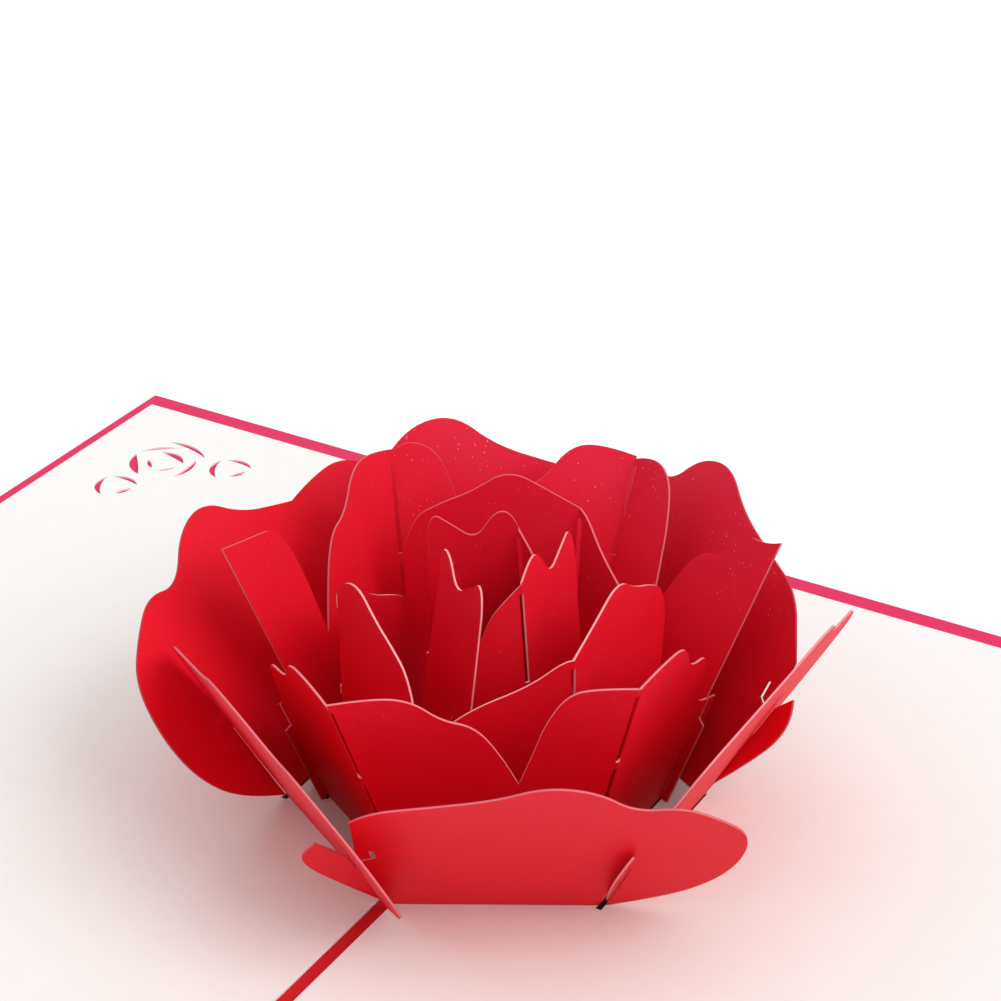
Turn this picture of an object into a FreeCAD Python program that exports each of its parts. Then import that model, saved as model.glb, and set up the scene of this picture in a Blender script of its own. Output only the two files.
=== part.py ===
import FreeCAD, Part
import os
import re

import Sketcher

# A pop-up greeting card, laid open. A red cover carries two white liner sheets, one on each side
# of the spine. A rose of four nested six-sided rings of red card stands on the spine. Each ring is
# held by tabs that go through slots in the liners, on the two sides that run along the spine.
#
# Millimetres. X runs across the spine, Y along it and Z up. The origin is the middle of the spine,
# on the underside of the cover.

# Driving sizes. Angles are in degrees, and a lean is measured outwards from upright.
SIZES = {
    # cover and liners
    "page_wide": 150,
    "page_long": 200,
    "cover_thick": 0.4,
    "score_wide": 1.2,
    "score_deep": 0.15,
    "liner_thick": 0.4,
    "side_border": 2.6,
    "end_border": 4.8,
    "spine_gap": 2.8,
    # petal card and its joints
    "petal_thick": 0.45,
    "lap_play": 0.2,
    "lap_rest": 0.2,
    "tab_inset": 4,
    "tab_play": 0.3,
    "slot_past": 1.5,
    "slit_wide": 0.8,
    "slit_long": 17,
    "slit_nub": 1.8,
    # outer ring: six flat petals
    "outer_side": 37.8,
    "outer_tall": 53.6,
    "outer_lap": 15,
    "outer_mouth": 23,
    "outer_mouth_wide": 7,
    "barb_wide": 0.9,
    "barb_reach": 2.2,
    "barb_tall": 3,
    "barb_drop": 1.6,
    "outer_lean_front": 34,
    "outer_lean_right_front": 28.5,
    "outer_lean_right_back": 24,
    "outer_lean_back": 24,
    "outer_lean_left_back": 26,
    "outer_lean_left_front": 28.5,
    # second ring: two strips, each folded twice
    "second_side": 30.3,
    "second_tall": 55,
    "second_lap": 9,
    "second_wing": 4.3,
    "second_wing_tall": 20,
    "second_foot": 2.2,
    "second_foot_tall": 17,
    "second_foot_step": 1,
    "second_cut_back": 4.7,
    "second_lean_front": 17.5,
    "second_lean_right_front": 17,
    "second_lean_right_back": 19.5,
    "second_lean_back": 17.5,
    "second_lean_left_back": 13.5,
    "second_lean_left_front": 21,
    # third ring: three petals, each folded once
    "third_side": 27,
    "third_tall": 55,
    "third_left_tall": 52.4,
    "third_lap": 9,
    "third_wing": 2.4,
    "third_wing_tall": 19,
    "third_lean_front": 4.5,
    "third_lean_right_front": 2,
    "third_lean_right_back": 3,
    "third_lean_back": 2,
    "third_lean_left_back": -2,
    "third_lean_left_front": 3,
    # bud: three petals, each folded once, closing inwards
    "bud_side": 16,
    "bud_tall": 55,
    "bud_lap": 9,
    "bud_wing": 2.6,
    "bud_wing_tall": 19,
    "bud_lean_front": -5,
    "bud_lean_right_front": -6,
    "bud_lean_right_back": -6,
    "bud_lean_back": -4,
    "bud_lean_left_back": -8,
    "bud_lean_left_front": -5,
    # rose cut-outs in the corner of the left liner
    "rose_radius": 8.2,
    "rose_from_side": 21.3,
    "rose_from_end": 26.5,
    "rosebud_radius": 4.4,
    "rosebud_a_from_side": 19.3,
    "rosebud_a_from_end": 40.4,
    "rosebud_b_from_side": 36.4,
    "rosebud_b_from_end": 21.4,
}

# The six sides of every ring, anticlockwise seen from above, with the direction each one faces.
# Side number k ends where side k + 1 starts.
SIDES = ["front", "right_front", "right_back", "back", "left_back", "left_front"]
FACING = {"front": -60, "right_front": 0, "right_back": 60, "back": 120, "left_back": 180, "left_front": 240}
# The two sides that run along the spine carry the tabs.
TABBED = ("right_front", "left_back")

doc = FreeCAD.newDocument("PopUpCard")
sheet = doc.addObject("Spreadsheet::Sheet", "Size")
for row, (alias, number) in enumerate(SIZES.items(), start=1):
    sheet.set(f"A{row}", alias)
    sheet.set(f"B{row}", str(number))
    sheet.setAlias(f"B{row}", alias)
doc.recompute()

WORD = re.compile(r"\b(" + "|".join(SIZES) + r")\b")


def bound(formula):
    """Point the size names in a formula at the sheet."""
    return WORD.sub(r"Size.\1", formula)


def value(formula):
    """What a formula of size names comes to now."""
    return float(sheet.evalExpression(formula))


def bind(thing, place, formula):
    thing.setExpression(place, bound(formula))


# Sketches

def origin_plane(body, role):
    return [plane for plane in body.Origin.OriginFeatures if plane.Role == role][0]


def new_sketch(body, name, placement=None):
    """A sketch on the body's XY plane, or laid off from it by a placement formula."""
    sketch = body.newObject("Sketcher::SketchObject", name)
    sketch.AttachmentSupport = [(origin_plane(body, "XY_Plane"), "")]
    sketch.MapMode = "FlatFace"
    if placement:
        bind(sketch, "AttachmentOffset", placement)
    return sketch


def draw(sketch, outlines):
    """Draw closed outlines. Each is a start point and steps of line, arc or curve, with formulas as
    coordinates. A step lists the point it passes (arc) or is pulled towards (curve), then its end."""
    shapes, rules, drives = [], [], []

    def pin(geometry, end, point):
        for axis, formula in zip(("DistanceX", "DistanceY"), point):
            drives.append((len(rules), formula))
            rules.append(Sketcher.Constraint(axis, -1, 1, geometry, end, value(formula)))

    def vector(point):
        return FreeCAD.Vector(value(point[0]), value(point[1]), 0)

    curves = []
    ends = {}
    for start, steps in outlines:
        marks = []
        here = start
        joined = []
        for kind, points in steps:
            joined.append(len(shapes))
            ends[len(shapes)] = (1, 2)
            if kind == "line":
                shapes.append(Part.LineSegment(vector(here), vector(points[-1])))
            elif kind == "arc":
                begin, middle, finish = vector(here), vector(points[0]), vector(points[-1])
                # a sketch always runs an arc anticlockwise, so a clockwise one swaps its ends
                if (middle - begin).cross(finish - middle).z < 0:
                    ends[len(shapes)] = (2, 1)
                marks.append((len(shapes), points[0]))
                shapes.append(Part.Arc(begin, middle, finish))
            else:
                curve = Part.BSplineCurve()
                poles = [vector(point) for point in (here, *points)]
                curve.buildFromPolesMultsKnots(poles, [3, 3], [0, 1], False, 2)
                curves.append((len(shapes), points[0]))
                shapes.append(curve)
            here = points[-1]
        for this, following in zip(joined, joined[1:] + joined[:1]):
            rules.append(
                Sketcher.Constraint("Coincident", this, ends[this][1], following, ends[following][0])
            )
        for geometry, (kind, points) in zip(joined, steps):
            pin(geometry, ends[geometry][1], points[-1])
        for geometry, point in marks:
            shapes.append(Part.Point(vector(point)))
            rules.append(Sketcher.Constraint("PointOnObject", len(shapes) - 1, 1, geometry))
            pin(len(shapes) - 1, 1, point)
    sketch.addGeometry(shapes, False)
    for index, shape in enumerate(shapes):
        if isinstance(shape, Part.Point):
            sketch.toggleConstruction(index)
    for geometry, point in curves:
        first_pole = sketch.GeometryCount
        sketch.exposeInternalGeometry(geometry)
        pin(first_pole + 1, 3, point)
    before = sketch.ConstraintCount
    sketch.addConstraint(rules)
    for index, formula in drives:
        bind(sketch, f"Constraints[{before + index}]", formula)


def line(*points):
    return [("line", [point]) for point in points]


def smooth(pulls, end):
    """A smooth line pulled towards each point in turn: parabolas that meet halfway between the pulls."""
    halfway = [(f"(({a})+({c}))/2", f"(({b})+({d}))/2") for (a, b), (c, d) in zip(pulls, pulls[1:])]
    return [("curve", [pull, stop]) for pull, stop in zip(pulls, halfway + [end])]


def polygon(points):
    return (points[-1], line(*points))


def add_pad(body, sketch, thick, upwards=False):
    pad = body.newObject("PartDesign::Pad", sketch.Name + "Pad")
    pad.Profile = sketch
    pad.Midplane = not upwards
    bind(pad, "Length", thick)
    body.Tip = pad
    return pad


def add_pocket(body, sketch, depth):
    """Cut a sketch equally to both sides of its plane."""
    pocket = body.newObject("PartDesign::Pocket", sketch.Name + "Pocket")
    pocket.Profile = sketch
    pocket.Midplane = True
    bind(pocket, "Length", depth)
    body.Tip = pocket
    return pocket


def new_body(label):
    body = doc.addObject("PartDesign::Body", "".join(word.title() for word in label.split("_")))
    body.Label = label
    return body


# Geometry of a ring

def lean(ring, side):
    """The name of the size that holds the lean of one side of a ring."""
    return f"{ring}_lean_{side}"


def neighbour(side, step):
    return SIDES[(SIDES.index(side) + step) % 6]


def apothem(ring):
    return f"({ring}_side*cos(30))"


PAGE_TOP = "(cover_thick+liner_thick)"
# The share of a petal's height that lies above its outline wherever a slot opens upwards.
OPEN_SHARE = 0.6
# How far past the fold line a sheet's middle runs, as a share of where its outsides would meet.
FOLD_SHARE = 0.84


def facet_place(ring, side):
    """The flat of one side: sketch X runs anticlockwise along the side from its middle, sketch Y runs
    up the slope, and the sheet's lower corner rests on the page."""
    facing = FACING[side]
    tilt = lean(ring, side)
    level = f"{PAGE_TOP}+petal_thick/2*abs(sin({tilt}))"
    foot = f"create(<<vector>>; {apothem(ring)}*cos({facing}); {apothem(ring)}*sin({facing}); {level})"
    turn = f"create(<<rotation>>; {facing + 90}; 0; 90+{tilt})"
    return f"create(<<placement>>; {foot}; {turn})"


def edge(ring, side, step, up, beyond="0"):
    """Where the next side's plane (step 1) or the last one's (step -1) crosses this side at height
    up, and how far along the side a point lies that is beyond the crossing."""
    own, other = lean(ring, side), lean(ring, neighbour(side, step))
    slant = f"(cos({own})*tan({other})-0.5*sin({own}))"
    sign = "" if step == 1 else "-"
    return f"{sign}((0.5*{apothem(ring)}+({up})*{slant})/cos(30)+({beyond}))"


def fold(ring, side, step):
    """The angle between this side's plane and its neighbour's."""
    own, other = lean(ring, side), lean(ring, neighbour(side, step))
    return f"acos(0.5*cos({own})*cos({other})+sin({own})*sin({other}))"


def crease_point(ring, side, step, up):
    """A point on a fold, carried on so that the outsides almost meet, as a fold in card is not sharp."""
    reach = f"petal_thick/2*{FOLD_SHARE}*tan({fold(ring, side, step)}/2)"
    return (edge(ring, side, step, up, reach), up)


def shares(ring, points, tall=None):
    """Outline points given as shares of the ring's side and of its petals' height."""
    return [(f"{ring}_side*{across}", f"{tall or ring + '_tall'}*{up}") for across, up in points]


def foot_line(ring, side, end):
    """The bottom of a side up to its end, with a tab below it where the side has one."""
    if side not in TABBED:
        return line(end)
    half = f"({ring}_side/2-tab_inset)"
    drop = f"-liner_thick/cos({lean(ring, side)})"
    left, right = f"-{half}", half
    return line((left, "0"), (left, drop), (right, drop), (right, "0"), end)


def slot_half(ring, side, step):
    """Half the width of a slot that takes the neighbour's sheet."""
    angle = fold(ring, side, step)
    return f"(petal_thick*(1+cos({angle}))/sin({angle})/2+lap_play)"


def lap_end(ring, side, opening):
    """Where a slot ends, up the slope, so that both sheets of a lap meet at one height."""
    sign = "-" if opening == "above" else "+"
    return f"(({ring}_lap{sign}lap_rest)/cos({lean(ring, side)}))"


def lap_slot(ring, side, step, opening):
    """Half of a cross lap: a slot along the line where the neighbour passes through, open above or
    below. An open end lies past the outline."""
    half = slot_half(ring, side, step)
    inner = lap_end(ring, side, opening)
    outer = f"({ring}_tall*{OPEN_SHARE})" if opening == "above" else "-petal_thick*2"
    return polygon([
        (edge(ring, side, step, inner, f"-{half}"), inner),
        (edge(ring, side, step, inner, half), inner),
        (edge(ring, side, step, outer, half), outer),
        (edge(ring, side, step, outer, f"-{half}"), outer),
    ])


def crease_slits(ring, side, step, top):
    """Slits along a fold, from the page up to its top, parted by short nubs that hold the card."""
    pitch = "(slit_long+slit_nub)"
    count = int(value(f"({top}-slit_nub)/{pitch}"))
    slits = []
    for number in range(count + 1):
        high = f"({top}-slit_nub-{number}*{pitch})"
        low = f"({high}-slit_long)" if number < count else "-slit_nub"
        slits.append(polygon([
            (edge(ring, side, step, low, "-slit_wide/2"), low),
            (edge(ring, side, step, low, "slit_wide/2"), low),
            (edge(ring, side, step, high, "slit_wide/2"), high),
            (edge(ring, side, step, high, "-slit_wide/2"), high),
        ]))
    return slits


def add_facet(body, ring, side, outline):
    sketch = new_sketch(body, body.Name + side.title().replace("_", ""), facet_place(ring, side))
    draw(sketch, [outline])
    add_pad(body, sketch, "petal_thick")


def cut_facet(body, ring, side, suffix, outlines, depth="petal_thick*6"):
    name = body.Name + side.title().replace("_", "") + suffix
    sketch = new_sketch(body, name, facet_place(ring, side))
    draw(sketch, outlines)
    add_pocket(body, sketch, depth)


# Cover and liners

def make_cover():
    """One sheet for both pages, scored on the inside along the spine."""
    body = new_body("cover")
    sketch = new_sketch(body, "CoverSheet")
    draw(sketch, [polygon([
        ("-page_wide", "-page_long/2"),
        ("page_wide", "-page_long/2"),
        ("page_wide", "page_long/2"),
        ("-page_wide", "page_long/2"),
    ])])
    add_pad(body, sketch, "cover_thick", upwards=True)
    score = body.newObject("Sketcher::SketchObject", "CoverScore")
    score.AttachmentSupport = [(origin_plane(body, "XZ_Plane"), "")]
    score.MapMode = "FlatFace"
    draw(score, [polygon([
        ("0", "cover_thick-score_deep"),
        ("score_wide/2", "cover_thick"),
        ("-score_wide/2", "cover_thick"),
    ])])
    add_pocket(body, score, "page_long")


# Each crescent of a rose: where it starts and ends round the rose, its outer radius and its depth
# at the middle, as shares of the rose's radius.
ROSE = [
    (42, 116, 1.17, 0.15),
    (97, 168, 0.86, 0.12),
    (178, 260, 0.88, 0.24),
    (-36, 37, 0.92, 0.14),
    (24, 126, 0.58, 0.2),
    (190, 262, 0.4, 0.12),
    (-72, -4, 0.5, 0.1),
]
ROSEBUD = [
    (36, 138, 1.0, 0.28),
    (150, 262, 1.1, 0.3),
    (-62, 12, 0.8, 0.28),
]


def crescent(radius, start, end, reach, depth):
    """Two arcs that meet in sharp tips."""
    middle = (start + end) / 2
    tips = [(f"{radius}*{reach}*cos({angle})", f"{radius}*{reach}*sin({angle})") for angle in (start, end)]
    outer = (f"{radius}*{reach}*cos({middle})", f"{radius}*{reach}*sin({middle})")
    inner = tuple(f"{radius}*({reach}-{depth})*{turn}({middle})" for turn in ("cos", "sin"))
    return (tips[0], [("arc", [outer, tips[1]]), ("arc", [inner, tips[0]])])


def tab_slot(ring, side):
    """The slot in a liner that takes a tab: a little wider than the tab, and longer than its side."""
    tilt = lean(ring, side)
    facing = 1 if side == "right_front" else -1
    middle = f"{facing}*({apothem(ring)}-(liner_thick+petal_thick*abs(sin({tilt})))/2*tan({tilt}))"
    half_wide = f"((petal_thick/cos({tilt})+liner_thick*abs(tan({tilt})))/2+tab_play)"
    half_long = f"({ring}_side/2+slot_past)"
    return polygon([
        (f"{middle}-{half_wide}", f"-{half_long}"),
        (f"{middle}+{half_wide}", f"-{half_long}"),
        (f"{middle}+{half_wide}", half_long),
        (f"{middle}-{half_wide}", half_long),
    ])


def make_liner(label, tabbed_side, inner, outer):
    """One white sheet, inset from the cover's edges, with a slot for each ring's tab."""
    body = new_body(label)
    on_cover = "create(<<placement>>; create(<<vector>>; 0; 0; cover_thick); create(<<rotation>>; 0; 0; 0))"
    sketch = new_sketch(body, body.Name + "Sheet", on_cover)
    near, far = "end_border-page_long/2", "page_long/2-end_border"
    draw(sketch, [polygon([(inner, near), (outer, near), (outer, far), (inner, far)])])
    add_pad(body, sketch, "liner_thick", upwards=True)
    slots = new_sketch(body, body.Name + "Slots", on_cover)
    draw(slots, [tab_slot(ring, tabbed_side) for ring in ("outer", "second", "third", "bud")])
    add_pocket(body, slots, "liner_thick*4")
    return body


def cut_rose(body, name, place, radius, crescents):
    """Cut one rose through a liner, near its far outer corner."""
    x, y = f"{place}_from_side-page_wide", f"page_long/2-{place}_from_end"
    spot = f"create(<<vector>>; {x}; {y}; cover_thick)"
    sketch = new_sketch(body, name, f"create(<<placement>>; {spot}; create(<<rotation>>; 0; 0; 0))")
    draw(sketch, [crescent(radius, *sizes) for sizes in crescents])
    add_pocket(body, sketch, "liner_thick*4")


# Outer ring

# The round of a petal from the end of its foot, over its top to the start of its foot, as shares of
# the ring's side and of the petal's height.
OUTER_ROUND = [
    (0.78, 0.09), (0.99, 0.245), (1.095, 0.44), (1.105, 0.65), (0.96, 0.775), (0.80, 0.865),
    (0.60, 0.83), (0.44, 0.98), (0.22, 1.02), (0.01, 0.91), (-0.27, 0.85), (-0.54, 0.80),
    (-0.69, 0.64), (-0.79, 0.53), (-0.86, 0.40), (-0.73, 0.23),
]
FOOT_START, FOOT_END = "-outer_side*0.463", "outer_side*0.51"


def make_outer_petal(side):
    """A flat petal. Its neighbours cross it at both ends: it is slotted from above at the start of
    its side, beside a hooked wing, and from below at the end."""
    body = new_body(f"outer_petal_{side}")
    start, end = (FOOT_START, "0"), (FOOT_END, "0")
    steps = foot_line("outer", side, end) + smooth(shares("outer", OUTER_ROUND), start)
    add_facet(body, "outer", side, (start, steps))

    mouth, top, bottom = "outer_mouth", "outer_tall*0.72", lap_end("outer", side, "above")
    half = slot_half("outer", side, -1)
    from_above = polygon([
        (edge("outer", side, -1, bottom, half), bottom),
        (edge("outer", side, -1, bottom, f"-{half}"), bottom),
        (edge("outer", side, -1, mouth, f"-{half}"), mouth),
        (edge("outer", side, -1, top, "-outer_mouth_wide/2"), top),
        (edge("outer", side, -1, top, "outer_mouth_wide*1.5"), top),
        (edge("outer", side, -1, mouth, half), mouth),
    ])
    cut_facet(body, "outer", side, "Laps", [from_above, lap_slot("outer", side, 1, "below")])

    def inward(distance):
        return edge("outer", side, -1, mouth, f"-{half}-({distance})")

    # a barb beside the slot, cut free along a bent slit, keeps the neighbour from slipping out
    barb = polygon([
        (inward("barb_reach+barb_wide"), f"{mouth}+barb_tall"),
        (inward("barb_reach"), f"{mouth}+barb_tall+barb_wide/2"),
        (inward("barb_reach+barb_wide/2"), mouth),
        (inward("-barb_wide/4"), f"{mouth}-barb_drop"),
        (inward("-barb_wide/4"), f"{mouth}-barb_drop-barb_wide"),
        (inward("barb_reach+barb_wide*1.5"), f"{mouth}-barb_wide/4"),
    ])
    cut_facet(body, "outer", side, "Barb", [barb])


# Second ring

# A side that carries half of two petals, with a deep valley between them: the outline to the valley
# from the end of the side, and from it to the start. The front side's petals are cut lower.
SECOND_VALLEY = (0.14, 0.50)
SECOND_TO_VALLEY = [(0.60, 0.97), (0.39, 0.95), (0.27, 0.82), (0.20, 0.66)]
SECOND_FROM_VALLEY = [(0.05, 0.64), (-0.10, 0.80), (-0.28, 0.83), (-0.44, 0.95), (-0.64, 0.965)]
FRONT_TO_VALLEY = [(0.58, 0.955), (0.40, 0.93), (0.28, 0.79), (0.215, 0.645)]
FRONT_FROM_VALLEY = [(0.05, 0.63), (-0.10, 0.775), (-0.28, 0.80), (-0.44, 0.89), (-0.64, 0.905)]
# A side that carries half of one petal, from the low wing that laps the other strip up to the fold.
LEFT_WING_FALL = [(0.55, 0.42), (0.40, 0.48), (0.28, 0.73), (-0.02, 0.74), (-0.25, 0.91), (-0.56, 0.915)]
RIGHT_WING_FALL = [(0.55, 0.42), (0.40, 0.48), (0.28, 0.73), (-0.02, 0.76), (-0.25, 0.94), (-0.56, 0.965)]
# How high each fold reaches, by the side that ends at it, as a share of the petal's height.
SECOND_FOLDS = {"left_front": 0.87, "front": 0.955, "right_back": 0.92, "back": 0.92}


def mirrored(points):
    return [(-across, up) for across, up in reversed(points)]


def second_top(side, step):
    """The height of the fold at the end (step 1) or the start (step -1) of a side."""
    return f"(second_tall*{SECOND_FOLDS[side if step == 1 else neighbour(side, -1)]})"


def second_double(side, start, end, to_valley, from_valley):
    """A side with two half petals. Each end is a fold, or a cut edge above a foot that laps."""
    ring = "second"
    valley = shares(ring, [SECOND_VALLEY])[0]

    def upright(step, kind):
        """Points from the page up to the top at one end of the side."""
        if kind == "fold":
            return [crease_point(ring, side, step, up) for up in ("0", second_top(side, step))]
        back = "-second_cut_back" if kind == "cut_back" else "-lap_play"
        cut_foot = "(second_foot_tall+second_foot_step)"
        return [
            (edge(ring, side, step, "0", "second_foot"), "0"),
            (edge(ring, side, step, "second_foot_tall", "second_foot"), "second_foot_tall"),
            (edge(ring, side, step, cut_foot, back), cut_foot),
            (edge(ring, side, step, "second_tall", back), "second_tall"),
        ]

    first, last = upright(-1, start), upright(1, end)
    steps = foot_line(ring, side, last[0]) + line(*last[1:])
    steps += smooth(shares(ring, to_valley), valley)
    steps += smooth(shares(ring, from_valley), first[-1])
    steps += line(*reversed(first[:-1]))
    return (first[0], steps)


def second_falling(side, fold_step, rise):
    """A side with one half petal, folded at one end and lapped at the other."""
    ring = "second"
    crease = [crease_point(ring, side, fold_step, up) for up in ("0", second_top(side, fold_step))]
    wing = [
        (edge(ring, side, -fold_step, "0", "second_wing"), "0"),
        (edge(ring, side, -fold_step, "second_wing_tall", "second_wing"), "second_wing_tall"),
    ]
    if fold_step == -1:
        steps = foot_line(ring, side, wing[0]) + line(wing[1])
        steps += smooth(shares(ring, rise), crease[1]) + line(crease[0])
        return (crease[0], steps)
    steps = foot_line(ring, side, crease[0]) + line(crease[1])
    steps += smooth(shares(ring, mirrored(rise)), wing[1]) + line(wing[0])
    return (wing[0], steps)


def make_second_strip(label, sides, outlines, opening):
    """Three sides of the second ring in one strip, folded twice, with a cross lap at each end."""
    body = new_body(label)
    for side in sides:
        add_facet(body, "second", side, outlines[side])
    first, middle, last = sides
    cut_facet(body, "second", first, "Lap", [lap_slot("second", first, -1, opening)])
    cut_facet(body, "second", last, "Lap", [lap_slot("second", last, 1, opening)])
    for step, suffix in ((-1, "FoldA"), (1, "FoldB")):
        slits = crease_slits("second", middle, step, second_top(middle, step))
        cut_facet(body, "second", middle, suffix, slits)


# Third ring and bud

# Outlines from the end of the side to its start, as shares of the ring's side and petal height. The
# falling side comes before the fold and the full side after it.
BENT = {
    "third": {
        "crease": 0.84,
        "falling": [(0.44, 0.84), (0.22, 0.74), (-0.15, 0.65), (-0.41, 0.53)],
        "corner": (0.63, 0.68),
        "full": [(0.58, 0.80), (0.37, 0.86), (0.17, 0.90), (-0.08, 0.985), (-0.36, 0.905)],
    },
    "bud": {
        "crease": 0.92,
        "falling": [(0.10, 0.86), (-0.10, 0.78), (-0.28, 0.58)],
        "corner": (0.77, 0.86),
        "full": [(0.75, 0.98), (0.50, 0.93), (0.22, 0.87), (0.02, 0.98), (-0.17, 0.98)],
    },
}


def make_bent_petal(label, ring, falling, tall):
    """Two sides of a ring in one petal, folded once where its falling side meets its full side."""
    shape = BENT[ring]
    full = neighbour(falling, 1)
    top = f"({tall}*{shape['crease']})"
    wing, wing_tall = f"{ring}_wing", f"{ring}_wing_tall"
    body = new_body(label)

    start = (edge(ring, falling, -1, "0", wing), "0")
    wing_top = (edge(ring, falling, -1, wing_tall, wing), wing_tall)
    fold_foot, fold_top = crease_point(ring, falling, 1, "0"), crease_point(ring, falling, 1, top)
    steps = foot_line(ring, falling, fold_foot) + line(fold_top)
    steps += smooth(shares(ring, shape["falling"], tall), wing_top) + line(start)
    add_facet(body, ring, falling, (start, steps))

    fold_foot, fold_top = crease_point(ring, full, -1, "0"), crease_point(ring, full, -1, top)
    end = (edge(ring, full, 1, "0", wing), "0")
    corner = shares(ring, [shape["corner"]], tall)[0]
    steps = foot_line(ring, full, end) + line(corner)
    steps += smooth(shares(ring, shape["full"], tall), fold_top) + line(fold_foot)
    add_facet(body, ring, full, (fold_foot, steps))

    cut_facet(body, ring, falling, "Lap", [lap_slot(ring, falling, -1, "above")])
    cut_facet(body, ring, full, "Lap", [lap_slot(ring, full, 1, "below")])
    cut_facet(body, ring, full, "Fold", crease_slits(ring, full, -1, top))


# The card

make_cover()
make_liner("liner_right", "right_front", "spine_gap/2", "page_wide-side_border")
left = make_liner("liner_left", "left_back", "-spine_gap/2", "side_border-page_wide")
cut_rose(left, "Rose", "rose", "rose_radius", ROSE)
cut_rose(left, "RosebudA", "rosebud_a", "rosebud_radius", ROSEBUD)
cut_rose(left, "RosebudB", "rosebud_b", "rosebud_radius", ROSEBUD)

for petal_side in SIDES:
    make_outer_petal(petal_side)

make_second_strip(
    "second_strip_front",
    ("left_front", "front", "right_front"),
    {
        "left_front": second_falling("left_front", 1, LEFT_WING_FALL),
        "front": second_double("front", "fold", "fold", FRONT_TO_VALLEY, FRONT_FROM_VALLEY),
        "right_front": second_falling("right_front", -1, RIGHT_WING_FALL),
    },
    "above",
)
make_second_strip(
    "second_strip_back",
    ("right_back", "back", "left_back"),
    {
        "right_back": second_double("right_back", "cut", "fold", SECOND_TO_VALLEY, SECOND_FROM_VALLEY),
        "back": second_double("back", "fold", "fold", SECOND_TO_VALLEY, SECOND_FROM_VALLEY),
        "left_back": second_double("left_back", "fold", "cut_back", SECOND_TO_VALLEY, SECOND_FROM_VALLEY),
    },
    "below",
)

for falling_side, word, tall in (
    ("front", "right", "third_tall"),
    ("right_back", "back", "third_tall"),
    ("left_back", "left", "third_left_tall"),
):
    make_bent_petal(f"third_petal_{word}", "third", falling_side, tall)
    make_bent_petal(f"bud_petal_{word}", "bud", falling_side, "bud_tall")

doc.recompute()

# Checks, then one file for each piece

bodies = [thing for thing in doc.Objects if thing.TypeId == "PartDesign::Body"]
for thing in doc.Objects:
    if "Invalid" in thing.State or "Error" in thing.State:
        raise RuntimeError(f"{thing.Name} failed: {thing.State}")
for body in bodies:
    shape = body.Shape
    if shape.isNull() or not shape.isValid() or len(shape.Solids) != 1:
        raise RuntimeError(f"{body.Label} is not one valid solid")

os.makedirs("parts", exist_ok=True)
for body in bodies:
    body.Shape.exportStep(f"parts/{body.Label}.step")
print(len(bodies), "pieces")
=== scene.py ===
"""The looks of a pop-up card that lies open with a paper rose standing on its spine.

The packed CAD pieces stay as they are and get the finishes of a real card: dyed red card whose cut
edges show a paler core, smooth white liners and a matt red cover.
"""

import math

import bpy
import numpy as np
from mathutils import Matrix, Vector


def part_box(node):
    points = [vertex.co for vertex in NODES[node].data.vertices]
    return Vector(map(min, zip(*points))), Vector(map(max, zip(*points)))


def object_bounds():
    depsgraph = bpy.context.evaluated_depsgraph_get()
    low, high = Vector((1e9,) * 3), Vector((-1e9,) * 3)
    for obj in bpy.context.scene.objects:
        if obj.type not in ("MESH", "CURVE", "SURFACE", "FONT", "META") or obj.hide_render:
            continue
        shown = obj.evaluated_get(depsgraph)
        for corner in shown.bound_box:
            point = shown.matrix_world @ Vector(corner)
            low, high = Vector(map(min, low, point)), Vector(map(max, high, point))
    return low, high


bl_info = {
    "name": "Pop-up card with a paper rose",
    "version": (1, 0, 0),
    "blender": (4, 5, 0),
    "location": "3D View > Sidebar > Pop-up Card",
    "description": "Finishes the cover, liners and rose petals of an open pop-up card",
    "category": "Object",
}

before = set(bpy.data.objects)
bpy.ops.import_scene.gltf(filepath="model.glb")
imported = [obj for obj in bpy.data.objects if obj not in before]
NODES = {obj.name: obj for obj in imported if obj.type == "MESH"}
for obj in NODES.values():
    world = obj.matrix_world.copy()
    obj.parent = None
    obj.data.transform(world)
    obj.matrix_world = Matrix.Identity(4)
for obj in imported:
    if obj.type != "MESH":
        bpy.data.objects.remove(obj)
CAD_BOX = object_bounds()


# Colours and shader nodes

def linear(hex_colour):
    """The linear colour of six sRGB hex digits."""
    channels = [int(hex_colour[place:place + 2], 16) / 255 for place in (0, 2, 4)]
    return [c / 12.92 if c <= 0.04045 else ((c + 0.055) / 1.055) ** 2.4 for c in channels]


def new_finish(name):
    """A material with its shader and output joined, as (material, node tree, shader)."""
    finish = bpy.data.materials.new(name)
    finish.use_nodes = True
    tree = finish.node_tree
    return finish, tree, tree.nodes["Principled BSDF"]


def add(tree, kind, settings=None, links=None):
    """Add one shader node. A setting named by a socket number or name goes on that socket, and any
    other on the node. Links feed its sockets."""
    made = tree.nodes.new(kind)
    sockets = {}
    for key, setting in (settings or {}).items():
        if isinstance(key, str) and hasattr(made, key):
            setattr(made, key, setting)
        else:
            sockets[key] = setting
    for key, setting in sockets.items():
        made.inputs[key].default_value = setting
    for key, output in (links or {}).items():
        tree.links.new(output, made.inputs[key])
    return made


# Where a folded petal's card lies flat

# Triangles whose normals have a dot product over this lie in one facet.
SAME_WAY = 0.999
# Triangles that share a direction and hold less than this share of the area are an edge.
LEAST_FACET = 0.12
# A cut edge's normal has less than this share of its length across the card.
EDGE_ACROSS = 0.5
# The core is fully pale within this share of the way from the middle of the card to its faces.
CORE_FULL = 0.5


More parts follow.
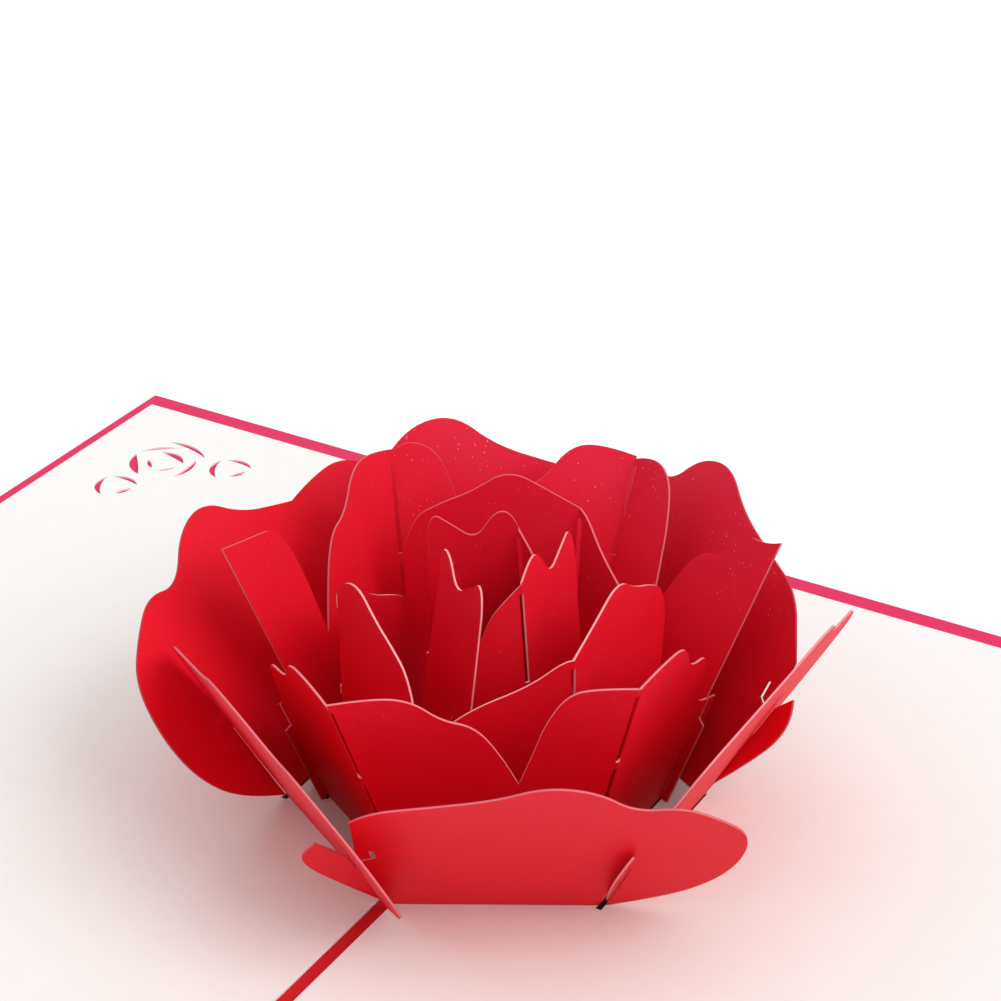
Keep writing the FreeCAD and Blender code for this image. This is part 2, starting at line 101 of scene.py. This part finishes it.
def facets_of(node):
    """The flat facets of a card node, as (unit normal, distance of the sheet's middle from the
    origin along it) in metres.

    Triangles are grouped by direction, the largest area first. A group that holds too little of
    the area is an edge and not a facet."""
    mesh = NODES[node].data
    corners = np.empty(len(mesh.vertices) * 3)
    mesh.vertices.foreach_get("co", corners)
    mesh.calc_loop_triangles()
    index = np.empty(len(mesh.loop_triangles) * 3, int)
    mesh.loop_triangles.foreach_get("vertices", index)
    points = corners.reshape(-1, 3)[index].reshape(-1, 3, 3)
    across = np.cross(points[:, 1] - points[:, 0], points[:, 2] - points[:, 0])
    area = np.linalg.norm(across, axis=1)
    keep = area > 0
    points, across, area = points[keep], across[keep], area[keep]
    normals = across / area[:, None]
    middles = points.mean(axis=1)
    left = np.ones(len(area), bool)
    facets = []
    while left.any():
        first = normals[np.argmax(np.where(left, area, 0))]
        same = left & (np.abs(normals @ first) > SAME_WAY)
        if area[same].sum() < LEAST_FACET * area.sum():
            break
        heights = middles[same] @ first
        facets.append((first, (heights.min() + heights.max()) / 2))
        left &= ~same
    return facets


def edge_masks(tree, facets, half_thick):
    """Two masks for card cut from these facets: 1 on a cut edge and 0 on a face, and how near to the
    middle of the sheet's thickness a point lies, 1 at the middle and 0 at the faces.

    A point belongs to the facet whose plane is nearest, and it is on a cut edge where its normal
    lies in that plane."""
    place = add(tree, "ShaderNodeTexCoord")
    nearest, facing = None, None
    for normal, offset in facets:
        height = add(tree, "ShaderNodeVectorMath", {"operation": "DOT_PRODUCT", 1: normal},
                     {0: place.outputs["Object"]})
        apart = add(tree, "ShaderNodeMath", {"operation": "SUBTRACT", 1: offset},
                    {0: height.outputs["Value"]})
        distance = add(tree, "ShaderNodeMath", {"operation": "ABSOLUTE"}, {0: apart.outputs[0]})
        along = add(tree, "ShaderNodeVectorMath", {"operation": "DOT_PRODUCT", 1: normal},
                    {0: place.outputs["Normal"]})
        turned = add(tree, "ShaderNodeMath", {"operation": "ABSOLUTE"}, {0: along.outputs["Value"]})
        if nearest is None:
            nearest, facing = distance.outputs[0], turned.outputs[0]
            continue
        closer = add(tree, "ShaderNodeMath", {"operation": "LESS_THAN"},
                     {0: distance.outputs[0], 1: nearest})
        nearest = add(tree, "ShaderNodeMath", {"operation": "MINIMUM"},
                      {0: distance.outputs[0], 1: nearest}).outputs[0]
        facing = add(tree, "ShaderNodeMix", {},
                     {0: closer.outputs[0], 2: facing, 3: turned.outputs[0]}).outputs[0]
    cut = add(tree, "ShaderNodeMath", {"operation": "LESS_THAN", 1: EDGE_ACROSS}, {0: facing})
    core = add(tree, "ShaderNodeMapRange",
               {"interpolation_type": "SMOOTHSTEP",
                "From Min": half_thick, "From Max": half_thick * CORE_FULL},
               {"Value": nearest})
    return cut.outputs[0], core.outputs[0]


# Sizes and colours that a user would change

def colour_property(label, about, hex_colour):
    """A colour, given as six sRGB hex digits and kept as linear."""
    return bpy.props.FloatVectorProperty(
        name=label, description=about, default=linear(hex_colour), subtype="COLOR", size=3, min=0, max=1)


def length_property(label, about, metres, least):
    """A length with the least value that it can be given, both in metres."""
    return bpy.props.FloatProperty(
        name=label, description=about, default=metres, min=least, subtype="DISTANCE", unit="LENGTH")


def strength_property(label, about, strength):
    """The strength of a lamp or of the room's light."""
    return bpy.props.FloatProperty(name=label, description=about, default=strength, min=0)


class CoverFinish(bpy.types.PropertyGroup):
    """The red card of the cover."""
    colour: colour_property("Colour", "Colour of the cover's red card", "E0265C")
    # painted shade: the deeper red of the cover in the gap between the liners, along the spine
    spine_shade: colour_property("Score", "Colour of the card between the liners, along the spine", "C81524")
    # painted shade: the near-black of the cover at the bottom of the liners' slots
    slot_shade: colour_property("Pit", "Colour of the card at the bottom of the liners' slots", "1E0609")
    grain: length_property("Grain", "Size of the cloudy patches in the card", 0.004, 0.0005)


class LinerFinish(bpy.types.PropertyGroup):
    """The white sheets glued inside the cover."""
    colour: colour_property("Colour", "Colour of the liners' smooth white card", "F1F0EE")
    shade: colour_property("Shade", "Colour of the faint clouds in the white card", "ECEBE8")
    grain: length_property("Grain", "Size of the faint clouds in the white card", 0.006, 0.0005)


class PetalFinish(bpy.types.PropertyGroup):
    """The dyed red card of the petals."""
    colour: colour_property("Colour", "Colour of the petals' faces", "E60A1F")
    cloud: colour_property("Cloud", "Colour of the darker clouds in the faces", "D90718")
    core: colour_property("Core", "Colour of the card's core, which its cut edges show", "F5A9AC")
    rim: colour_property("Rim", "Colour of a cut edge beside the faces", "C02436")
    # partly painted glint: the flecks' pale colour stands partly for light catching the mica
    glinting_fleck: colour_property("Fleck", "Colour of the fine sparkling flecks", "FFB9C0")
    # painted sheen: a pink that stands for light catching the mica at the tops of the back petals
    painted_sheen: colour_property("Veil", "Colour of the faces where the mica lies thickest", "FF4A78")
    thickness: length_property("Thickness", "Thickness of the petal card", 0.00045, 0.0001)
    cloud_size: length_property("Cloud size", "Size of the clouds in the dyed card", 0.007, 0.0005)
    fibre: length_property("Fibre", "Width of the pressed fibres in the card", 0.00035, 0.0001)
    fleck_gap: length_property("Fleck spacing", "Distance between two sparkling flecks", 0.0009, 0.0002)


class StageLook(bpy.types.PropertyGroup):
    """Floor and lamps."""
    floor: colour_property("Floor", "Colour of the table under the card", "F7F7F7")
    key: strength_property("Key lamp", "Strength of the large lamp on the right", 1.15)
    ambient: strength_property("Room light", "Strength of the white room around the card", 0.53)
    window: strength_property("Window", "Strength of the low window on the left", 0.59)


# Finish of the cover

# The cover shows between the liners. Its deeper red there is painted shade of the gap; it starts a little
# under them and is full beside them.
LINER_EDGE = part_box("liner_right")[0].x
SPINE_SHADE_START = LINER_EDGE + 0.0003
SPINE_SHADE_FULL = LINER_EDGE - 0.0001
# The liners' slots lie between these distances from the spine, and this far to both sides of its middle.
SLOTS_FROM = 0.008
SLOTS_TO = 0.040
SLOTS_REACH = 0.025
# Half-way up the cover's thickness, which parts its upper face from its lower one.
COVER_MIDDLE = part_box("cover")[1].z / 2
# The clouds' brightness as a share of the cover's, and the width of its fibres in metres.
COVER_CLOUD = 0.86
COVER_FIBRE = 1 / 2800


def cover_card(look):
    """Uncoated card, dyed through and calendered: a matt face with soft clouds and pressed fibres."""
    finish, tree, shader = new_finish("matt dyed cover card")
    place = add(tree, "ShaderNodeTexCoord").outputs["Object"]
    clouds = add(tree, "ShaderNodeTexNoise",
                 {"Scale": 1 / look.grain, "Detail": 3.0, "Roughness": 0.6}, {"Vector": place})
    dark = [COVER_CLOUD * channel for channel in look.colour]
    mottled = add(tree, "ShaderNodeMix", {"data_type": "RGBA", 6: [*look.colour, 1], 7: [*dark, 1]},
                  {0: clouds.outputs["Fac"]})

    # between the liners the cover is painted a deeper red, as the shade in the gap between them
    parts = add(tree, "ShaderNodeSeparateXYZ", {}, {0: place})
    aside = add(tree, "ShaderNodeMath", {"operation": "ABSOLUTE"}, {0: parts.outputs["X"]}).outputs[0]
    spine_shade_mask = add(tree, "ShaderNodeMapRange",
                 {"interpolation_type": "SMOOTHSTEP", "From Min": SPINE_SHADE_START, "From Max": SPINE_SHADE_FULL},
                 {"Value": aside})
    spine = add(tree, "ShaderNodeMix", {"data_type": "RGBA", 7: [*look.spine_shade, 1]},
                {0: spine_shade_mask.outputs[0], 6: mottled.outputs[2]})

    # inside the rose only the liners' slots bare the cover, and there it is painted near-black as the shade
    # at the bottom of the slots
    along = add(tree, "ShaderNodeMath", {"operation": "ABSOLUTE"}, {0: parts.outputs["Y"]}).outputs[0]
    limits = [
        (aside, "GREATER_THAN", SLOTS_FROM),
        (aside, "LESS_THAN", SLOTS_TO),
        (along, "LESS_THAN", SLOTS_REACH),
        (parts.outputs["Z"], "GREATER_THAN", COVER_MIDDLE),
    ]
    inside = [add(tree, "ShaderNodeMath", {"operation": test, 1: limit}, {0: measure}).outputs[0]
              for measure, test, limit in limits]
    slot_shade_mask = inside[0]
    for mask in inside[1:]:
        slot_shade_mask = add(tree, "ShaderNodeMath", {"operation": "MULTIPLY"}, {0: slot_shade_mask, 1: mask}).outputs[0]
    coloured = add(tree, "ShaderNodeMix", {"data_type": "RGBA", 7: [*look.slot_shade, 1]},
                   {0: slot_shade_mask, 6: spine.outputs[2]})
    tree.links.new(coloured.outputs[2], shader.inputs["Base Color"])

    fibres = add(tree, "ShaderNodeTexNoise", {"Scale": 1 / COVER_FIBRE, "Detail": 2.0}, {"Vector": place})
    bump = add(tree, "ShaderNodeBump", {"Strength": 0.35, "Distance": 0.00003},
               {"Height": fibres.outputs["Fac"]})
    tree.links.new(bump.outputs[0], shader.inputs["Normal"])
    shader.inputs["Roughness"].default_value = 0.6
    shader.inputs["Specular IOR Level"].default_value = 0.3
    return finish


# Finish of the liners

# The width of the fine tooth in the liners' faces, in metres.
LINER_TOOTH = 1 / 3500


def liner_card(look):
    """Coated white card: almost even, with faint clouds and a fine tooth that keeps it matt."""
    finish, tree, shader = new_finish("smooth white liner card")
    place = add(tree, "ShaderNodeTexCoord").outputs["Object"]
    clouds = add(tree, "ShaderNodeTexNoise",
                 {"Scale": 1 / look.grain, "Detail": 4.0, "Roughness": 0.65}, {"Vector": place})
    mottled = add(tree, "ShaderNodeMix",
                  {"data_type": "RGBA", 6: [*look.colour, 1], 7: [*look.shade, 1]},
                  {0: clouds.outputs["Fac"]})
    tree.links.new(mottled.outputs[2], shader.inputs["Base Color"])
    tooth = add(tree, "ShaderNodeTexNoise", {"Scale": 1 / LINER_TOOTH, "Detail": 2.0}, {"Vector": place})
    bump = add(tree, "ShaderNodeBump", {"Strength": 0.3, "Distance": 0.00002},
               {"Height": tooth.outputs["Fac"]})
    tree.links.new(bump.outputs[0], shader.inputs["Normal"])
    shader.inputs["Roughness"].default_value = 0.55
    shader.inputs["Specular IOR Level"].default_value = 0.3
    return finish


# Finish of the petals

# How much of its pale core a petal's cut edge shows, from 0, where dye has run over it, to 1.
PALE_EDGE = {
    "outer_petal_front": 0.35,
    "outer_petal_right_front": 0.7,
    "outer_petal_right_back": 0.1,
    "outer_petal_back": 0.1,
    "outer_petal_left_back": 0.1,
    "outer_petal_left_front": 0.4,
    "second_strip_front": 0.55,
    "second_strip_back": 0.4,
    "third_petal_right": 1.0,
    "third_petal_back": 0.35,
    "third_petal_left": 1.0,
    "bud_petal_right": 1.0,
    "bud_petal_back": 0.3,
    "bud_petal_left": 1.0,
}
# A fibre's length in its own widths, and the share by which fibres lighten and darken the face.
FIBRE_LONG = 8
STREAK = 0.07
# A fleck fades out between these distances from its middle, as shares of a cell.
FLECK_MIDDLE = 0.08
FLECK_RIM = 0.19
# The share of the cells that hold no fleck.
BARE_CELLS = 0.5
# Flecks show only where the clouds' value is over the first of these, and fully over the second.
FLECKED_CLOUDS = (0.42, 0.6)
# Along +Y and +Z the painted sheen, and the flecks' painted glint, grow from their least share to the
# whole, between these places in metres.
SHEEN_LEAST = 0.3
SHEEN_BACK = (0.015, 0.042)
SHEEN_UP = (0.025, 0.045)
# The share of a face's colour that the painted pink sheen covers at its strongest.
SHEEN_SHARE = 0.22
# The roughness of a face, of a fleck and of a cut edge.
FACE_ROUGH = 0.56
FLECK_ROUGH = 0.3
EDGE_ROUGH = 0.8


def petal_card(look, node):
    """Dyed card with mica in its face: soft clouds, pressed fibres that run up the petal, fine flecks
    painted pale partly as glints, a painted pink sheen towards the tops of the back petals, and a paler
    core wherever it was cut."""
    finish, tree, shader = new_finish("dyed card with mica flecks, " + node.replace("_", " "))
    cut, core = edge_masks(tree, facets_of(node), look.thickness / 2)
    place = add(tree, "ShaderNodeTexCoord").outputs["Object"]

    clouds = add(tree, "ShaderNodeTexNoise",
                 {"Scale": 1 / look.cloud_size, "Detail": 4.0, "Roughness": 0.6}, {"Vector": place})
    face = add(tree, "ShaderNodeMix", {"data_type": "RGBA", 6: [*look.colour, 1], 7: [*look.cloud, 1]},
               {0: clouds.outputs["Fac"]})

    # the fibres are drawn wider than real ones so that they show
    upright = add(tree, "ShaderNodeMapping", {"Scale": (1, 1, 1 / FIBRE_LONG)}, {"Vector": place})
    fibres = add(tree, "ShaderNodeTexNoise", {"Scale": 1 / look.fibre, "Detail": 2.0},
                 {"Vector": upright.outputs[0]})
    streak = add(tree, "ShaderNodeMapRange", {"To Min": 1 - STREAK, "To Max": 1 + STREAK},
                 {"Value": fibres.outputs["Fac"]})
    streaked = add(tree, "ShaderNodeVectorMath", {"operation": "SCALE"},
                   {0: face.outputs[2], "Scale": streak.outputs[0]})

    # painted sheen: towards the tops of the back petals the red is mixed with pink, which stands for light
    # catching the mica in the card
    parts = add(tree, "ShaderNodeSeparateXYZ", {}, {0: place})
    behind, raised = [
        add(tree, "ShaderNodeMapRange",
            {"From Min": least, "From Max": most, "To Min": SHEEN_LEAST, "To Max": 1.0},
            {"Value": parts.outputs[axis]})
        for axis, (least, most) in (("Y", SHEEN_BACK), ("Z", SHEEN_UP))]
    sheen_and_glint_mask = add(tree, "ShaderNodeMath", {"operation": "MULTIPLY"},
                {0: behind.outputs[0], 1: raised.outputs[0]})
    sheen_share = add(tree, "ShaderNodeMath", {"operation": "MULTIPLY", 1: SHEEN_SHARE}, {0: sheen_and_glint_mask.outputs[0]})
    sheened = add(tree, "ShaderNodeMix", {"data_type": "RGBA", 7: [*look.painted_sheen, 1]},
                 {0: sheen_share.outputs[0], 6: streaked.outputs[0]})

    # each cell can hold one of the flecks, about a quarter of a cell wide, larger than real mica so that it
    # shows. Their pale colour is partly the mica's own and partly painted glint, and they show only towards
    # the tops of the back petals, where the light catches them
    cells = add(tree, "ShaderNodeTexVoronoi", {"Scale": 1 / look.fleck_gap}, {"Vector": place})
    near = add(tree, "ShaderNodeMapRange",
               {"interpolation_type": "SMOOTHSTEP", "From Min": FLECK_RIM, "From Max": FLECK_MIDDLE},
               {"Value": cells.outputs["Distance"]})
    chance = add(tree, "ShaderNodeSeparateColor", {}, {0: cells.outputs["Color"]})
    lit = add(tree, "ShaderNodeMapRange", {"From Min": BARE_CELLS, "From Max": 1.0},
              {"Value": chance.outputs[0]})
    patch = add(tree, "ShaderNodeMapRange", {"From Min": FLECKED_CLOUDS[0], "From Max": FLECKED_CLOUDS[1]},
                {"Value": clouds.outputs["Fac"]})
    glinting_fleck = near.outputs[0]
    for mask in (lit, patch, sheen_and_glint_mask):
        glinting_fleck = add(tree, "ShaderNodeMath", {"operation": "MULTIPLY"},
                    {0: glinting_fleck, 1: mask.outputs[0]}).outputs[0]
    glint_flecked = add(tree, "ShaderNodeMix", {"data_type": "RGBA", 7: [*look.glinting_fleck, 1]},
                  {0: glinting_fleck, 6: sheened.outputs[2]})

    # a cut edge shows the pale core between two lines of dyed face
    bare = add(tree, "ShaderNodeMath", {"operation": "MULTIPLY", 1: PALE_EDGE[node]}, {0: core})
    edge = add(tree, "ShaderNodeMix", {"data_type": "RGBA", 6: [*look.rim, 1], 7: [*look.core, 1]},
               {0: bare.outputs[0]})
    coloured = add(tree, "ShaderNodeMix", {"data_type": "RGBA"},
                   {0: cut, 6: glint_flecked.outputs[2], 7: edge.outputs[2]})
    tree.links.new(coloured.outputs[2], shader.inputs["Base Color"])

    gloss = add(tree, "ShaderNodeMapRange", {"To Min": FACE_ROUGH, "To Max": FLECK_ROUGH}, {"Value": glinting_fleck})
    rough = add(tree, "ShaderNodeMix", {3: EDGE_ROUGH}, {0: cut, 2: gloss.outputs[0]})
    tree.links.new(rough.outputs[0], shader.inputs["Roughness"])
    bump = add(tree, "ShaderNodeBump", {"Strength": 0.4, "Distance": 0.00003},
               {"Height": fibres.outputs["Fac"]})
    tree.links.new(bump.outputs[0], shader.inputs["Normal"])
    shader.inputs["Specular IOR Level"].default_value = 0.18
    return finish


# Putting the finishes on

def dress(node, finish):
    """Give a CAD node its finish."""
    NODES[node].data.materials.clear()
    NODES[node].data.materials.append(finish)


def dress_ring(look, ring):
    """Finish every petal whose node name starts with the ring's name."""
    petals = sorted(node for node in NODES if node.startswith(ring))
    if not petals:
        raise RuntimeError(f"the frame has no petal named {ring}")
    for node in petals:
        dress(node, petal_card(look, node))


# Operators, one for each group of pieces

class CARD_OT_cover(bpy.types.Operator):
    """Finish the cover in matt dyed red card, with painted shade along the spine between the liners and in
    the liners' slots.
    """
    bl_idname = "pop_up_card.finish_cover"
    bl_label = "Finish the cover"

    def execute(self, context):
        dress("cover", cover_card(context.scene.card_cover))
        return {"FINISHED"}


class CARD_OT_liners(bpy.types.Operator):
    """Finish both liners in smooth white card."""
    bl_idname = "pop_up_card.finish_liners"
    bl_label = "Finish the liners"

    def execute(self, context):
        white = liner_card(context.scene.card_liners)
        for node in ("liner_left", "liner_right"):
            dress(node, white)
        return {"FINISHED"}


class CARD_OT_outer_ring(bpy.types.Operator):
    """Finish the six flat petals of the outer ring."""
    bl_idname = "pop_up_card.finish_outer_ring"
    bl_label = "Finish the outer ring"

    def execute(self, context):
        dress_ring(context.scene.card_petals, "outer_petal")
        return {"FINISHED"}


class CARD_OT_second_ring(bpy.types.Operator):
    """Finish the two folded strips of the second ring."""
    bl_idname = "pop_up_card.finish_second_ring"
    bl_label = "Finish the second ring"

    def execute(self, context):
        dress_ring(context.scene.card_petals, "second_strip")
        return {"FINISHED"}


class CARD_OT_third_ring(bpy.types.Operator):
    """Finish the three folded petals of the third ring."""
    bl_idname = "pop_up_card.finish_third_ring"
    bl_label = "Finish the third ring"

    def execute(self, context):
        dress_ring(context.scene.card_petals, "third_petal")
        return {"FINISHED"}


class CARD_OT_bud(bpy.types.Operator):
    """Finish the three folded petals of the bud."""
    bl_idname = "pop_up_card.finish_bud"
    bl_label = "Finish the bud"

    def execute(self, context):
        dress_ring(context.scene.card_petals, "bud_petal")
        return {"FINISHED"}


class CARD_OT_stage(bpy.types.Operator):
    """Lay a pale floor, hang the lamp, light the room and set up the camera."""
    bl_idname = "pop_up_card.set_stage"
    bl_label = "Set the stage"

    def execute(self, context):
        look = context.scene.card_stage
        lay_floor(context.scene, look)
        hang_lamp(context.scene, look)
        light_room(context.scene, look)
        place_camera(context.scene)
        return {"FINISHED"}


# Floor

# Half the floor's side and how far it lies under the card, in metres, and its glow to the camera.
FLOOR_REACH = 4.0
FLOOR_GAP = 0.0001
FLOOR_GLOW = 0.12


def lay_floor(scene, look):
    """A pale floor just under the card. To the camera it glows a little, which whitens it and leaves
    the card's shadow on it."""
    low = CAD_BOX[0].z - FLOOR_GAP
    corners = [(-FLOOR_REACH, -FLOOR_REACH, low), (FLOOR_REACH, -FLOOR_REACH, low),
               (FLOOR_REACH, FLOOR_REACH, low), (-FLOOR_REACH, FLOOR_REACH, low)]
    mesh = bpy.data.meshes.new("floor")
    mesh.from_pydata(corners, [], [(0, 1, 2, 3)])
    floor = bpy.data.objects.new("floor", mesh)
    scene.collection.objects.link(floor)
    finish, tree, shader = new_finish("white studio table")
    shader.inputs["Base Color"].default_value = [*look.floor, 1]
    shader.inputs["Roughness"].default_value = 0.9
    shader.inputs["Emission Color"].default_value = (1, 1, 1, 1)
    path = add(tree, "ShaderNodeLightPath")
    glow = add(tree, "ShaderNodeMath", {"operation": "MULTIPLY", 1: FLOOR_GLOW},
               {0: path.outputs["Is Camera Ray"]})
    tree.links.new(glow.outputs[0], shader.inputs["Emission Strength"])
    mesh.materials.append(finish)


# Lamp and room

# The key lamp's turns about X, Y and Z and its breadth in the sky, in degrees.
KEY_TURNS = (45, 0, 85)
KEY_BREADTH = 40
# The room brightens along a direction, from the first to the second value of the dot product with it.
# It is darkest on the far side, and at its brightest it has this many times the room light's strength.
ROOM_TOWARDS = (0.6, -0.1, 0.79)
ROOM_RANGE = (-0.5, 0.9)
ROOM_DARKEST = 0.02
ROOM_PEAK = 2
# The window stands low on the left, and brightens towards its middle in the same way.
WINDOW_TOWARDS = (-0.95, 0, 0.3)
WINDOW_RANGE = (0.4, 0.95)


def hang_lamp(scene, look):
    """A broad lamp high on the right."""
    lamp = bpy.data.lights.new("key lamp", "SUN")
    lamp.energy = look.key
    lamp.angle = math.radians(KEY_BREADTH)
    hung = bpy.data.objects.new("key lamp", lamp)
    hung.rotation_euler = [math.radians(angle) for angle in KEY_TURNS]
    scene.collection.objects.link(hung)


def light_room(scene, look):
    """A white room, bright above and on the right and dim low on the left, where a low window
    lightens the shadow that the flower throws on the page. The camera, glass and gloss see it white."""
    world = bpy.data.worlds.new("white room")
    world.use_nodes = True
    tree = world.node_tree
    room = tree.nodes["Background"]
    around = add(tree, "ShaderNodeTexCoord").outputs["Generated"]
    # each glow has a direction, the range in which it grows, and its least and greatest strength
    glows = [
        (ROOM_TOWARDS, ROOM_RANGE, ROOM_DARKEST, ROOM_PEAK * look.ambient),
        (WINDOW_TOWARDS, WINDOW_RANGE, 0.0, look.window),
    ]
    lights = []
    for direction, (start, full), least, greatest in glows:
        towards = add(tree, "ShaderNodeVectorMath", {"operation": "DOT_PRODUCT", 1: direction}, {0: around})
        grown = add(tree, "ShaderNodeMapRange",
                    {"From Min": start, "From Max": full, "To Min": least, "To Max": greatest},
                    {"Value": towards.outputs["Value"]})
        lights.append(grown.outputs[0])
    light = add(tree, "ShaderNodeMath", {"operation": "ADD"}, {0: lights[0], 1: lights[1]})
    path = add(tree, "ShaderNodeLightPath")
    shown = path.outputs["Is Camera Ray"]
    for ray in ("Is Transmission Ray", "Is Glossy Ray"):
        shown = add(tree, "ShaderNodeMath", {"operation": "MAXIMUM"},
                    {0: shown, 1: path.outputs[ray]}).outputs[0]
    strength = add(tree, "ShaderNodeMix", {3: 1.0}, {0: shown, 2: light.outputs[0]})
    tree.links.new(strength.outputs[0], room.inputs["Strength"])
    room.inputs["Color"].default_value = (1, 1, 1, 1)
    scene.world = world


# Camera

# The camera that the card's edges give: it stands in front of the right page and looks down on the
# rose. Its place is in metres, and its turns are in degrees.
CAMERA_PLACE = (0.218406, -0.3741, 0.301727)
CAMERA_TURN = 30.168
CAMERA_DROP = 28.924
CAMERA_ROLL = 0.293
LENS_MM = 103.28
SENSOR_MM = 36


def place_camera(scene):
    """The camera looks along (-sin turn cos drop, cos turn cos drop, -sin drop), rolled a little."""
    turn, drop, roll = (math.radians(angle) for angle in (CAMERA_TURN, CAMERA_DROP, CAMERA_ROLL))
    ahead = np.array([-math.sin(turn) * math.cos(drop), math.cos(turn) * math.cos(drop), -math.sin(drop)])
    level = np.array([math.cos(turn), math.sin(turn), 0.0])
    above = np.cross(level, ahead)
    right = level * math.cos(roll) + above * math.sin(roll)
    up = above * math.cos(roll) - level * math.sin(roll)
    eye = bpy.data.cameras.new("camera")
    eye.sensor_width = SENSOR_MM
    eye.lens = LENS_MM
    eye.clip_start = 0.01
    eye.clip_end = 50
    camera = bpy.data.objects.new("camera", eye)
    scene.collection.objects.link(camera)
    pose = np.eye(4)
    pose[:3, 0], pose[:3, 1], pose[:3, 2], pose[:3, 3] = right, up, -ahead, CAMERA_PLACE
    camera.matrix_world = Matrix(pose.tolist())
    scene.camera = camera


# Panel

GROUPS = {
    "card_cover": CoverFinish,
    "card_liners": LinerFinish,
    "card_petals": PetalFinish,
    "card_stage": StageLook,
}
STEPS = [CARD_OT_cover, CARD_OT_liners, CARD_OT_outer_ring, CARD_OT_second_ring,
         CARD_OT_third_ring, CARD_OT_bud, CARD_OT_stage]


class CARD_PT_looks(bpy.types.Panel):
    """Lists the card's sizes and colours, and a button for each group of pieces."""
    bl_label = "Pop-up Card"
    bl_idname = "CARD_PT_looks"
    bl_space_type = "VIEW_3D"
    bl_region_type = "UI"
    bl_category = "Pop-up Card"

    def draw(self, context):
        for group, kind in GROUPS.items():
            box = self.layout.box()
            box.label(text=kind.__doc__)
            for name in kind.__annotations__:
                box.prop(getattr(context.scene, group), name)
        for step in STEPS:
            self.layout.operator(step.bl_idname)


def register():
    for kind in [*GROUPS.values(), *STEPS, CARD_PT_looks]:
        bpy.utils.register_class(kind)
    for group, kind in GROUPS.items():
        setattr(bpy.types.Scene, group, bpy.props.PointerProperty(type=kind))


def unregister():
    for group in GROUPS:
        delattr(bpy.types.Scene, group)
    for kind in reversed([*GROUPS.values(), *STEPS, CARD_PT_looks]):
        bpy.utils.unregister_class(kind)


def main():
    register()
    scene = bpy.context.scene
    scene.view_settings.view_transform = "Standard"
    for step in STEPS:
        family, action = step.bl_idname.split(".")
        getattr(getattr(bpy.ops, family), action)()


if __name__ == "__main__":
    main()
